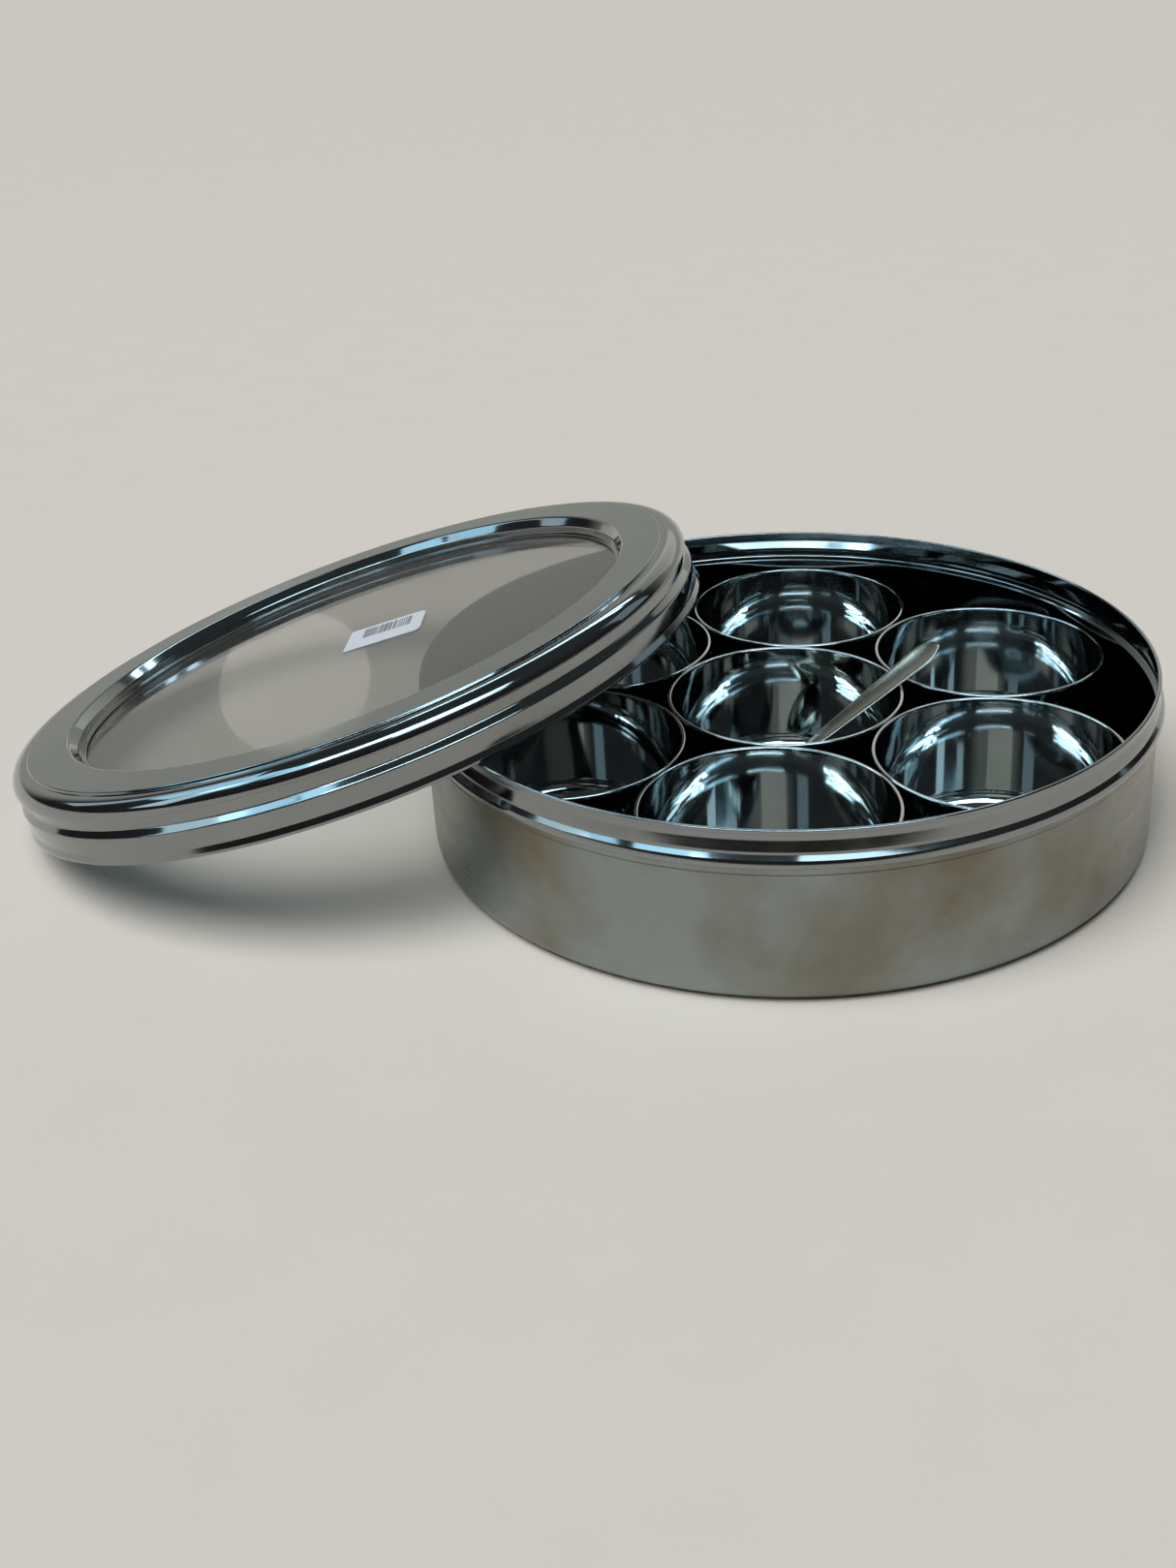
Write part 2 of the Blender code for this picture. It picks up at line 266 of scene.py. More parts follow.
def piece_from(name: str, surface: Surface, placement: Placement,
               finishes: Sequence[bpy.types.Material]) -> bpy.types.Object:
    """Make a smooth mesh object that sits at the origin with its place in its mesh.

    Args:
        name: the object's name.
        surface: the closed surface in the piece's own frame.
        placement: where it stands.
        finishes: materials, in the order of the surface's marks.

    Returns:
        The linked object.
    """
    mesh = bpy.data.meshes.new(name)
    faces = surface.quads.tolist() + surface.triangles.tolist()
    mesh.from_pydata(placement.metres(surface.points).tolist(), [], faces)
    layer = mesh.uv_layers.new(name="Turned")
    corners = np.concatenate([surface.quad_uv.reshape(-1, 2), surface.triangle_uv.reshape(-1, 2)])
    layer.uv.foreach_set("vector", corners.astype(np.float32).ravel())
    for finish in finishes:
        mesh.materials.append(finish)
    if surface.marks is not None:
        mesh.polygons.foreach_set("material_index", surface.marks.astype(np.int32))
    mesh.shade_smooth()
    mesh.set_sharp_from_angle(angle=np.radians(SHARP_ANGLE))
    mesh.validate()
    mesh.update()
    item = bpy.data.objects.new(name, mesh)
    bpy.context.scene.collection.objects.link(item)
    return item


def upright(node: str) -> Placement:
    """Place a piece that stands upright about the middle of its node.

    Args:
        node: the node that it stands for.

    Returns:
        A shift to the middle of the node's box in plan and to the box's underside.
    """
    low, high = (np.array(corner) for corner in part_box(node))
    middle = (low + high) / 2.0 / MM
    return Placement(shift=np.array([middle[0], middle[1], low[2] / MM]))


def install(item: bpy.types.Object, body: str, node: str) -> None:
    """Let a finished piece ride on its body in place of a plain node, and report its fit.

    Args:
        item: the finished piece.
        body: the body that it moves with.
        node: the plain node that it stands for.
    """
    low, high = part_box(node)
    points = np.empty(len(item.data.vertices) * 3, dtype=np.float32)
    item.data.vertices.foreach_get("co", points)
    points = points.reshape(-1, 3)
    off = max(np.abs(points.min(axis=0) - low).max(), np.abs(points.max(axis=0) - high).max())
    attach(item, body)
    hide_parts(node)
    log.info("%s: %d faces, within %.2f mm of its node's box", item.name,
             len(item.data.polygons), off / MM)


# ---------------------------------------------------------------- finishes


class Nodes:
    """A node tree, with short ways to add the nodes that the finishes and the room share."""

    def __init__(self, tree: bpy.types.NodeTree) -> None:
        """Work in the tree of a material or of the room."""
        self.tree = tree
        self.place = self.add("ShaderNodeTexCoord")

    def add(self, kind: str) -> bpy.types.Node:
        """Add a node of the given type."""
        return self.tree.nodes.new(kind)

    def join(self, source: Socket | float | Sequence[float], target: Socket) -> None:
        """Feed a socket, or set its value.

        Args:
            source: the socket that feeds it, or a number or colour.
            target: the socket that is fed.
        """
        if isinstance(source, Socket):
            self.tree.links.new(source, target)
        else:
            target.default_value = source

    def split(self, vector: Socket) -> tuple[Socket, Socket, Socket]:
        """Take a vector apart.

        Args:
            vector: the vector's socket.

        Returns:
            Its x, y and z.
        """
        node = self.add("ShaderNodeSeparateXYZ")
        self.join(vector, node.inputs[0])
        return node.outputs["X"], node.outputs["Y"], node.outputs["Z"]

    def reckon(self, operation: str, *terms: Socket | float) -> Socket:
        """Do one sum.

        Args:
            operation: the Math node's operation.
            terms: what it works on, in order.

        Returns:
            The result.
        """
        node = self.add("ShaderNodeMath")
        node.operation = operation
        for term, socket in zip(terms, node.inputs):
            self.join(term, socket)
        return node.outputs[0]

    def noise(self, vector: Socket, scale: float, detail: float = 2.0,
              roughness: float = 0.5) -> Socket:
        """Add 3D noise.

        Args:
            vector: the coordinates that it reads.
            scale: waves per unit of the vector.
            detail: how many times finer waves are added.
            roughness: how strong each finer wave is beside the one before.

        Returns:
            The noise, 0 to 1.
        """
        node = self.add("ShaderNodeTexNoise")
        self.join(vector, node.inputs["Vector"])
        for key, number in (("Scale", scale), ("Detail", detail), ("Roughness", roughness)):
            self.join(number, node.inputs[key])
        return node.outputs["Fac"]

    def spread(self, value: Socket, span: tuple[float, float], result: tuple[float, float],
               smooth: bool = False) -> Socket:
        """Map a value from one range to another, held at both ends.

        Args:
            value: the value.
            span: where it starts and ends.
            result: what it becomes there.
            smooth: whether it eases in and out like a smooth step.

        Returns:
            The mapped value.
        """
        node = self.add("ShaderNodeMapRange")
        if smooth:
            node.interpolation_type = "SMOOTHSTEP"
        self.join(value, node.inputs["Value"])
        for key, number in zip(("From Min", "From Max", "To Min", "To Max"), (*span, *result)):
            self.join(number, node.inputs[key])
        return node.outputs["Result"]

    def blend(self, share: Socket, first: Colour | Socket, second: Colour | Socket) -> Socket:
        """Mix two colours.

        Args:
            share: 0 for the first colour, 1 for the second.
            first: a colour or the socket of one.
            second: the same.

        Returns:
            The mixed colour.
        """
        node = self.add("ShaderNodeMix")
        node.data_type = "RGBA"
        self.join(share, node.inputs["Factor"])
        for colour, socket in ((first, node.inputs[6]), (second, node.inputs[7])):
            self.join(colour if isinstance(colour, Socket) else (*colour, 1.0), socket)
        return node.outputs[2]

    def bump(self, height: Socket, depth: float, under: Socket | None = None) -> Socket:
        """Tilt the surface as a relief does.

        Args:
            height: the relief, 0 to 1.
            depth: its full height, metres.
            under: the normal of a coarser relief that it lies on.

        Returns:
            The normal.
        """
        node = self.add("ShaderNodeBump")
        self.join(1.0, node.inputs["Strength"])
        self.join(depth, node.inputs["Distance"])
        self.join(height, node.inputs["Height"])
        if under is not None:
            self.join(under, node.inputs["Normal"])
        return node.outputs["Normal"]

    def either(self, ray: str, first: Socket, second: Socket, output: Socket) -> None:
        """Show one shader to the rays of one kind and another shader to all others.

        Args:
            ray: the Light Path output that tells these rays apart.
            first: the shader for all other rays.
            second: the shader for these rays.
            output: the surface socket that takes the result.
        """
        kind, mix = self.add("ShaderNodeLightPath"), self.add("ShaderNodeMixShader")
        for source, socket in zip((kind.outputs[ray], first, second), mix.inputs):
            self.join(source, socket)
        self.join(mix.outputs[0], output)


class Shading(Nodes):
    """The node tree of one material with a Principled shader."""

    def __init__(self, name: str) -> None:
        """Start a material.

        Args:
            name: the material's name.
        """
        self.material = bpy.data.materials.new(name)
        self.material.use_nodes = True
        super().__init__(self.material.node_tree)
        self.shader = self.tree.nodes["Principled BSDF"]

    @property
    def solid(self) -> Socket:
        """Object coordinates in metres."""
        return self.place.outputs["Object"]

    @property
    def flat(self) -> Socket:
        """The piece's own UV map."""
        return self.place.outputs["UV"]

    def feed(self, **sources: Socket | float | Sequence[float]) -> None:
        """Feed or set inputs of the Principled shader.

        Args:
            sources: the socket, number or colour for each input, by the input's name with _
                for a space.
        """
        for key, source in sources.items():
            self.join(source, self.shader.inputs[key.replace("_", " ")])

    def lathe(self, waves_round: float, waves_across: float) -> Socket:
        """Return coordinates drawn out round a turned piece.

        The turn u becomes a circle (cos 2 pi u, sin 2 pi u), so that the pattern meets itself,
        and v, the distance along the section, is stretched to close fine lines.

        Args:
            waves_round: waves per radian round the piece.
            waves_across: waves per metre along the section.

        Returns:
            The vector socket.
        """
        u, v, _ = self.split(self.flat)
        turn = self.reckon("MULTIPLY", u, 2.0 * np.pi)
        joined = self.add("ShaderNodeCombineXYZ")
        for source, waves, axis in ((self.reckon("COSINE", turn), waves_round, "X"),
                                    (self.reckon("SINE", turn), waves_round, "Y"),
                                    (v, waves_across, "Z")):
            self.join(self.reckon("MULTIPLY", source, waves), joined.inputs[axis])
        return joined.outputs[0]


@dataclass(frozen=True)
class Steel:
    """Stainless sheet: how it was ground, how wavy it lies, and how it is smudged.

    A pair called a span gives the noise levels where something starts and where it is full.
    """

    name: str
    colour: Colour
    stain_and_reflection: Colour                          # colour of the soft patches: a painted brown reflection on the satin wall, a darker tone on the others
    patch_size: float                      # metres
    patch_share: float
    roughness: tuple[float, float]         # clean and smudged
    line_depth: float                      # of the polishing lines, metres
    wave_depth: float                      # of the uneven lie of the sheet, metres
    wave_size: float = 0.022
    grain_depth: float = 0.0               # of the matt grain, metres
    grain_waves: float = 3200.0            # per metre
    patch_span: tuple[float, float] = (0.40, 0.66)
    smudge_waves: float = 55.0             # per metre
    smudge_span: tuple[float, float] = (0.40, 0.75)
    line_waves: tuple[float, float] = (3.0, 2600.0)    # per radian round, per metre across
    line_span: tuple[float, float] = (0.35, 0.75)
    line_sheen: tuple[float, float] = (-0.15, 0.30)    # change of roughness, of the clean one

    def material(self) -> bpy.types.Material:
        """Build the material.

        Returns:
            Metal whose colour goes in soft patches to a second colour, a painted brown reflection
            on the satin wall and a darker tone elsewhere; whose roughness rises in smudges and
            along polishing lines, and whose surface waves slightly.
        """
        shade = Shading(self.name)
        # patches that blend in the second colour: on the satin wall this is a painted brown
        # reflection
        patches = shade.noise(shade.solid, 1.0 / self.patch_size, detail=4.0, roughness=0.55)
        share = shade.spread(patches, self.patch_span, (0.0, self.patch_share))
        lines = shade.noise(shade.lathe(*self.line_waves), 1.0, detail=3.0, roughness=0.6)
        smudge = shade.noise(shade.solid, self.smudge_waves, detail=5.0, roughness=0.6)
        base = shade.spread(smudge, self.smudge_span, self.roughness)
        shinier, duller = (part * self.roughness[0] for part in self.line_sheen)
        streak = shade.spread(lines, self.line_span, (shinier, duller))
        normal = shade.bump(shade.noise(shade.solid, 1.0 / self.wave_size, detail=1.0),
                            self.wave_depth)
        normal = shade.bump(lines, self.line_depth, normal)
        if self.grain_depth:
            grain = shade.noise(shade.solid, self.grain_waves)
            normal = shade.bump(grain, self.grain_depth, normal)
        shade.feed(Metallic=1.0, Base_Color=shade.blend(share, self.colour, self.stain_and_reflection),
                   Roughness=shade.reckon("ADD", base, streak), Normal=normal)
        return shade.material


@dataclass(frozen=True)
class WindowPlastic:
    """Clear sheet, faintly smoky and scuffed, that lets lamp light through."""

    name: str = "window_plastic"
    tint: Colour = (0.43, 0.42, 0.40)
    lamp_tint: Colour = (0.86, 0.85, 0.83)              # of lamp light, each face
    roughness: tuple[float, float] = (0.01, 0.07)       # clear and scuffed
    refraction: float = 1.44
    clearness: float = 0.94                             # what is left is the haze of scuffs
    scuff_waves: tuple[float, float] = (2.0, 420.0)     # per radian round, per metre across
    scuff_span: tuple[float, float] = (0.15, 0.45)      # noise levels: none, full
    haze_waves: float = 38.0                            # per metre
    haze_depth: float = 0.000015                        # metres

    def material(self) -> bpy.types.Material:
        """Build the material.

        Returns:
            Glass-like plastic; rays from the lamps pass straight through, as they nearly do
            through a thin flat sheet.
        """
        shade = Shading(self.name)
        scuffs = shade.noise(shade.lathe(*self.scuff_waves), 1.0, detail=4.0, roughness=0.65)
        haze = shade.noise(shade.solid, self.haze_waves, detail=4.0, roughness=0.6)
        worn = shade.reckon("MULTIPLY", scuffs, haze)
        shade.feed(Base_Color=(*self.tint, 1.0), IOR=self.refraction,
                   Transmission_Weight=self.clearness,
                   Roughness=shade.spread(worn, self.scuff_span, self.roughness),
                   Normal=shade.bump(haze, self.haze_depth))
        passing = shade.add("ShaderNodeBsdfTransparent")
        shade.join((*self.lamp_tint, 1.0), passing.inputs["Color"])
        shade.either("Is Shadow Ray", shade.shader.outputs[0], passing.outputs[0],
                     shade.tree.nodes["Material Output"].inputs["Surface"])
        return shade.material


@dataclass(frozen=True)
class PricePaper:
    """Coated label paper with a block of plain printed bars that spell nothing."""

    name: str = "label_paper"
    paper: Colour = (0.74, 0.82, 0.92)
    ink: Colour = (0.07, 0.08, 0.11)
    bar_columns: float = 32.0                           # bars over the label's width
    bar_widths: tuple[float, float] = (0.28, 0.85)      # narrowest and widest, of a column
    bar_block: tuple[float, float, float, float] = (0.20, 0.84, 0.46, 0.90)
    fibre_waves: float = 900.0                          # per metre
    fibre_depth: float = 0.00002                        # metres
    fibre_dark: float = 0.88                            # of the paper's colour
    fibre_share: float = 0.35
    roughness: tuple[float, float] = (0.42, 0.58)

    def material(self) -> bpy.types.Material:
        """Build the material.

        Returns:
            Paper with fine fibres; a bar stands in each column and its width is a fixed random
            number, inside the block given as shares of the label's width and height.
        """
        shade = Shading(self.name)
        u, v, _ = shade.split(shade.flat)
        place = shade.reckon("MULTIPLY", u, self.bar_columns)
        chance = shade.add("ShaderNodeTexWhiteNoise")
        chance.noise_dimensions = "1D"
        shade.join(shade.reckon("FLOOR", place), chance.inputs["W"])
        left, right, low, high = self.bar_block
        width = shade.spread(chance.outputs["Value"], (0.0, 1.0), self.bar_widths)
        mask = shade.reckon("LESS_THAN", shade.reckon("FRACT", place), width)
        for side, operation, limit in ((u, "GREATER_THAN", left), (u, "LESS_THAN", right),
                                       (v, "GREATER_THAN", low), (v, "LESS_THAN", high)):
            mask = shade.reckon("MULTIPLY", mask, shade.reckon(operation, side, limit))
        fibre = shade.noise(shade.solid, self.fibre_waves, detail=4.0, roughness=0.7)
        shaded = shade.blend(shade.spread(fibre, (0.3, 0.8), (0.0, self.fibre_share)), self.paper,
                             tuple(self.fibre_dark * part for part in self.paper))
        shade.feed(Base_Color=shade.blend(mask, shaded, self.ink),
                   Roughness=shade.spread(fibre, (0.3, 0.7), self.roughness),
                   Normal=shade.bump(fibre, self.fibre_depth))
        return shade.material


# the satin sheet's brown patch colour, at full share, is a painted reflection of brown
# surroundings
SATIN = Steel("satin_sheet", (0.295, 0.325, 0.315), (0.195, 0.175, 0.13), 0.055, 1.0,
              (0.28, 0.38), 0.0000012, 0.00006, wave_size=0.05, grain_depth=0.000003)
MIRROR = Steel("mirror_sheet", (0.30, 0.318, 0.32), (0.25, 0.255, 0.24), 0.04, 0.5,
               (0.06, 0.11), 0.0000005, 0.00003)
BOWL_MIRROR = Steel("bowl_mirror_sheet", (0.58, 0.615, 0.615), (0.49, 0.51, 0.50), 0.02, 0.4,
                    (0.04, 0.085), 0.00000012, 0.000010, wave_size=0.018)
SPOON_STEEL = Steel("spoon_sheet", (0.60, 0.595, 0.51), (0.50, 0.48, 0.40), 0.012, 0.4,
                    (0.13, 0.20), 0.0000002, 0.000006, wave_size=0.012)


# ---------------------------------------------------------------- sub-assemblies


@dataclass
class Drum:
    """The box: floor, satin wall, polished stop bead, neck and folded rim, from one sheet."""

    height: float = 53.0
    wall: float = 114.8
    corner: float = 4.25
    line_height: float = 39.8
    line_depth: float = 0.12
    line_half: float = 0.35            # half the width of the pressed line
    bead: float = 116.6
    bead_foot: float = 41.5
    bead_crest: float = 1.9            # from the bead's foot up to where it stands out most
    bead_head: float = 45.9
    shoulder: float = 115.2
    shoulder_foot: float = 46.6
    shoulder_top: float = 49.8
    neck: float = 114.3
    rim: float = 115.0
    rim_depth: float = 1.4
    segments: int = 288

    def outline(self) -> tuple[Array, Array]:
        """Draw the section.

        Returns:
            The outline from the floor's underside over the rim to the inner floor, and the
            finish number of each span: 0 satin up to the bead, 1 polished after it.
        """
        inner_wall, inner_neck = self.wall - SHEET, self.neck - SHEET
        line, dent = self.line_height, self.line_depth
        rim_foot = self.height - self.rim_depth
        crest = self.bead_foot + self.bead_crest
        outside = np.array([                       # radius, height, fillet radius
            (0.0, 0.0, 0.0), (self.wall, 0.0, self.corner),
            (self.wall, line - self.line_half, 0.3), (self.wall - dent, line, 0.25),
            (self.wall, line + self.line_half, 0.3), (self.wall, self.bead_foot, 0.4),
            (self.bead - 0.3, self.bead_foot + 0.7, 0.9), (self.bead, crest, 0.9),
            (self.bead - 0.35, crest + 1.2, 0.9), (self.shoulder, self.bead_head, 0.15),
            (self.shoulder, self.shoulder_foot, 0.3), (self.neck, self.shoulder_top, 0.9),
            (self.neck, rim_foot - 0.1, 0.15), (self.rim, rim_foot + 0.1, 0.3),
            (self.rim, self.height, 0.5), (inner_neck, self.height, 0.5)])
        inside = np.array([
            (inner_neck, self.shoulder_top, 0.9), (self.shoulder - SHEET, self.shoulder_foot, 0.3),
            (self.shoulder - SHEET, self.bead_head - 0.3, 0.15),
            (self.bead - SHEET, crest + 0.4, 0.9), (self.bead - SHEET, crest - 0.4, 0.9),
            (inner_wall, self.bead_foot + 0.4, 0.3),
            (inner_wall, SHEET, self.corner - SHEET), (0.0, SHEET, 0.0)])
        outline = braced(rounded(np.concatenate([outside, inside])))
        satin = (np.arange(len(outline)) < np.argmax(outline[:, 1] > self.bead_foot - 0.1))
        return outline, np.where(satin, 0, 1)

    def build(self, satin: bpy.types.Material, mirror: bpy.types.Material) -> None:
        """Make the drum's shell where its node stands.

        Args:
            satin: finish of the wall up to the bead.
            mirror: finish of the rest.
        """
        outline, marks = self.outline()
        shell = piece_from("drum_shell", revolve(outline, self.segments, marks),
                           upright("box_body"), [satin, mirror])
        install(shell, "box", "box_body")


@dataclass
class Bowl:
    """One small spun bowl with a rolled lip."""

    lip_radius: float = 37.7
    lip_width: float = 1.2
    lip_depth: float = 1.0
    wall_top: float = 37.0
    wall_foot: float = 36.45
    corner: float = 6.25
    height: float = 38.0
    segments: int = 176

    def outline(self) -> Array:
        """Draw the section from the middle of the underside over the lip to the inner floor.

        Returns:
            Rows of radius and height, in mm above the bowl's own underside.
        """
        inner = self.lip_radius - self.lip_width
        under_lip = self.height - self.lip_depth
        curl = self.lip_width / 2.0 - 0.12
        corners = np.array([
            (0.0, 0.0, 0.0), (self.wall_foot, 0.0, self.corner),
            (self.wall_top, under_lip - 0.1, 0.1), (self.lip_radius, under_lip, 0.42),
            (self.lip_radius, self.height, curl), (inner, self.height, curl),
            (self.wall_top - SHEET, under_lip - 0.5, 0.3),
            (self.wall_foot - SHEET, SHEET, self.corner - SHEET), (0.0, SHEET, 0.0)])
        return braced(rounded(corners, 8))

    def build(self, name: str, mirror: bpy.types.Material) -> None:
        """Make one bowl.

        Args:
            name: the bowl's body, which is also the node that the bowl takes the place of.
            mirror: its finish.
        """
        bowl = piece_from(name + "_spun", revolve(self.outline(), self.segments), upright(name),
                          [mirror])
        install(bowl, name, name)


@dataclass
class Lid:
    """The lid: pressed ring with beaded skirt, window held in its inner fold, and price label.

    Heights are measured from the skirt's lower edge along the lid's own axis.
    """

    hem: float = 118.2
    hem_height: float = 1.4
    lower: float = 117.6
    seam: float = 4.0                  # where the section starts and ends inside the skirt
    shoulder_foot: float = 8.5
    shoulder_top: float = 10.4
    upper: float = 115.9
    bead: float = 117.4
    bead_foot: float = 14.1
    bead_round: float = 4.6
    ledge: float = 19.4
    step: float = 111.0
    height: float = 20.2
    recess: float = 97.3               # where the flat top starts to slope to the window
    throat: float = 94.8               # where the slope ends in the upright edge round it
    throat_height: float = 17.2
    seat: float = 14.8
    seat_radius: float = 93.4
    pane_gap: float = 0.3
    pane_thickness: float = 2.0
    label_size: tuple[float, float] = (27.5, 21.5)
    label_centre: tuple[float, float] = (9.7, 7.1)
    label_turn: float = 4.6            # degrees
    label_corners: tuple[float, float, float, float] = (0.5, 2.6, 2.6, 0.5)
    label_thickness: float = 0.2
    label_gap: float = 0.1
    bearing: float = 169.85            # of the lid's centre seen from the drum, degrees
    lean: float = 15.95
    rim_radius: float = 114.45         # where the skirt's edge lies on the drum's rim
    rim_height: float = 53.3
    segments: int = 288

    @property
    def pane_top(self) -> float:
        """Height of the window's upper face."""
        return self.seat - SHEET - self.pane_gap

    def placement(self) -> Placement:
        """Lean the lid on the table and the drum's rim.

        The plane of the skirt's edge rises from the table at the lean angle.  At the rim's
        height it cuts the edge in a chord, and the lid stands where the ends of this chord lie
        on the circle of the rim.

        Returns:
            The turn about a level axis across the bearing, and the place of the edge's centre.
        """
        angle, bearing = np.radians(self.lean), np.radians(self.bearing)
        edge = self.hem - (self.hem - self.lower + SHEET) / 2.0
        climb = self.rim_height / np.sin(angle) - self.hem
        chord = np.sqrt(edge ** 2 - climb ** 2)
        distance = np.sqrt(self.rim_radius ** 2 - chord ** 2) + climb * np.cos(angle)
        away = np.array([np.cos(bearing), np.sin(bearing), 0.0])
        shift = away * distance + [0.0, 0.0, self.hem * np.sin(angle) + self.pane_gap]
        axis = np.cross([0.0, 0.0, 1.0], away)
        cross = np.array([[0.0, -axis[2], axis[1]], [axis[2], 0.0, -axis[0]],
                          [-axis[1], axis[0], 0.0]])
        turn = np.eye(3) + np.sin(angle) * cross + (1.0 - np.cos(angle)) * cross @ cross
        return Placement(turn, shift)

    def ring_outline(self) -> Array:
        """Draw the pressed ring's section: up the skirt, over the top, round the window's fold.

        Returns:
            Rows of radius and height; the last row meets the first inside the skirt.
        """
        under_top, under_ledge = self.height - SHEET, self.ledge - SHEET
        fold_top = self.pane_top - self.pane_thickness - self.pane_gap
        behind = self.throat + SHEET
        corners = np.array([
            (self.lower - SHEET, self.seam, 0.0), (self.lower - SHEET, 0.0, 0.35),
            (self.hem, 0.0, 0.5),
            (self.hem, self.hem_height - 0.4, 0.3), (self.lower, self.hem_height + 1.4, 0.5),
            (self.lower, self.shoulder_foot, 0.9), (self.upper, self.shoulder_top, 0.8),
            (self.upper, self.bead_foot, 0.3), (self.bead, self.bead_foot + 0.3, 0.35),
            (self.bead, self.ledge, self.bead_round), (self.step, self.ledge, 0.15),
            (self.step - 0.3, self.height, 0.4),
            (self.recess, self.height, 1.5), (self.throat, self.throat_height, 1.2),
            (self.throat, self.seat, 0.25),
            (self.seat_radius, self.seat, 0.2), (self.seat_radius, self.seat - SHEET, 0.2),
            (self.throat, self.seat - SHEET, 0.2), (self.throat, fold_top, 0.2),
            (self.seat_radius, fold_top, 0.2), (self.seat_radius, fold_top - SHEET, 0.2),
            (behind, fold_top - SHEET, 0.4), (behind, self.throat_height + 0.2, 1.0),
            (self.recess + 0.2, under_top, 0.8),
            (self.step - 0.8, under_top, 0.3), (self.step - 0.5, under_ledge, 0.15),
            (self.bead - SHEET, under_ledge, self.bead_round - SHEET),
            (self.bead - SHEET, self.bead_foot + 0.6, 0.15),
            (self.upper - SHEET, self.bead_foot + 0.4, 0.2),
            (self.upper - SHEET, self.shoulder_top + 0.2, 0.5),
            (self.lower - SHEET, self.shoulder_foot + 0.2, 0.6),
            (self.lower - SHEET, self.seam, 0.0)])
        return braced(rounded(corners))[:-1]

    def pane_outline(self) -> Array:
        """Draw the window's section, a flat disc with an eased edge.

        Returns:
            Rows of radius and height, from the middle of the underside to that of the top.
        """
        radius, top = self.throat - self.pane_gap, self.pane_top
        low = top - self.pane_thickness
        corners = np.array([(0.0, low, 0.0), (radius, low, 0.25), (radius, top, 0.25),
                            (0.0, top, 0.0)])
        return braced(rounded(corners, 4))

    def label_surface(self) -> Surface:
        """Lay out the label, a thin plate whose right corners are rounder than its left ones.

        A corner at the place (x, y) of the half sizes, with the radius r, is an arc about
        (x - r, y - r) over a quarter turn.

        Returns:
            The closed plate, with UV as shares of its width and height on both faces.
        """
        half = np.array(self.label_size) / 2.0
        signs = np.array([(-1.0, -1.0), (1.0, -1.0), (1.0, 1.0), (-1.0, 1.0)])
        radii = np.array(self.label_corners)
        quarter = np.radians(np.array([180.0, 270.0, 0.0, 90.0]))
        angle = quarter[:, None] + np.linspace(0.0, np.pi / 2.0, 9)
        centres = signs * (half - radii[:, None])
        flat = (centres[:, None] + radii[:, None, None]
                * np.stack([np.cos(angle), np.sin(angle)], axis=-1)).reshape(-1, 2)
        share = flat / (2.0 * half) + 0.5
        turn = np.radians(self.label_turn)
        spin = np.array([(np.cos(turn), -np.sin(turn)), (np.sin(turn), np.cos(turn))])
        level = self.pane_top + self.label_gap
        count = len(flat)
        edge = flat @ spin.T + self.label_centre
        low = np.column_stack([edge, np.full(count, level)])
        high = np.column_stack([edge, np.full(count, level + self.label_thickness)])
        middles = np.array([(*self.label_centre, level),
                            (*self.label_centre, level + self.label_thickness)])
        quads, fans = skin(2, count, poles=True)
        onward = np.roll(share, -1, axis=0)
        half_way = np.full((count, 2), 0.5)
        side_uv = np.stack([share, onward, onward, share], axis=1)
        fan_uv = np.concatenate([np.stack([half_way, onward, share], axis=1),
                                 np.stack([half_way, share, onward], axis=1)])
        return Surface(np.concatenate([low, high, middles]), quads, fans, side_uv, fan_uv)

    def build(self, mirror: bpy.types.Material, plastic: bpy.types.Material,
              paper: bpy.types.Material) -> None:
        """Make the lid's three pieces, leaning as their nodes do.

        Args:
            mirror: the ring's finish.
            plastic: the window's.
            paper: the label's.
        """
        place = self.placement()
        ring = piece_from("lid_pressing", revolve(self.ring_outline(), self.segments), place,
                          [mirror])
        install(ring, "lid", "lid_ring")
        pane = piece_from("lid_window", revolve(self.pane_outline(), self.segments), place,
                          [plastic])
        install(pane, "lid", "window_pane")
        label = piece_from("lid_label", self.label_surface(), place, [paper])
        install(label, "lid", "price_label")


